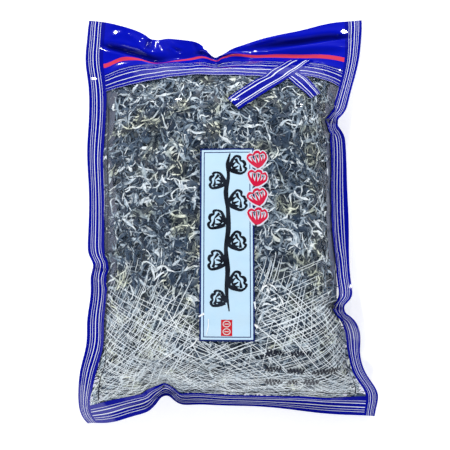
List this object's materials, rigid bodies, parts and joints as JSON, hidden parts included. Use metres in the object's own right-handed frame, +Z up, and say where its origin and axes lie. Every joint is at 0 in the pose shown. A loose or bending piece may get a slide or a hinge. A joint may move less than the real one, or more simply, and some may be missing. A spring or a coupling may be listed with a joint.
{
  "type": "pouch of shredded dried wood ear mushroom",
  "caption": "Pillow-shaped clear film pouch, heat-sealed on four edges and filled with shredded dried wood ear mushroom, lying on its back.",
  "frame": {"origin": "on the table, under the middle of the pouch's bounding box", "axes": "+X across the pouch to the viewer's right, +Y along it towards the top seal, +Z up out of the printed front"},
  "size_m": [0.3003, 0.4232, 0.0688],
  "materials": {
    "printed_film": "glossy clear film, printed blue along its edges",
    "dark_shreds": "dark inner side of dried wood ear, matt",
    "pale_shreds": "pale outer side of dried wood ear, downy",
    "blue_print": "blue ink on film, glossy",
    "white_print": "white ink on film, glossy",
    "label_print": "pale blue label panel printed on film, glossy",
    "red_print": "red ink on film, glossy"
  },
  "bodies": {
    "root": {"front_film": "printed_film", "back_film": "printed_film", "packed_shreds": "dark_shreds", "shred_01": "dark_shreds", "shred_02": "pale_shreds", "shred_03": "dark_shreds", "shred_04": "pale_shreds", "shred_05": "pale_shreds", "shred_06": "dark_shreds", "shred_07": "pale_shreds", "shred_08": "dark_shreds", "shred_09": "dark_shreds", "shred_10": "pale_shreds", "shred_11": "dark_shreds", "shred_12": "pale_shreds", "shred_13": "pale_shreds", "shred_14": "dark_shreds", "shred_15": "pale_shreds", "shred_16": "dark_shreds", "shred_17": "dark_shreds", "shred_18": "pale_shreds", "shred_19": "dark_shreds", "shred_20": "pale_shreds", "shred_21": "pale_shreds", "shred_22": "dark_shreds", "shred_23": "pale_shreds", "shred_24": "dark_shreds"}
  },
  "joints": []
}
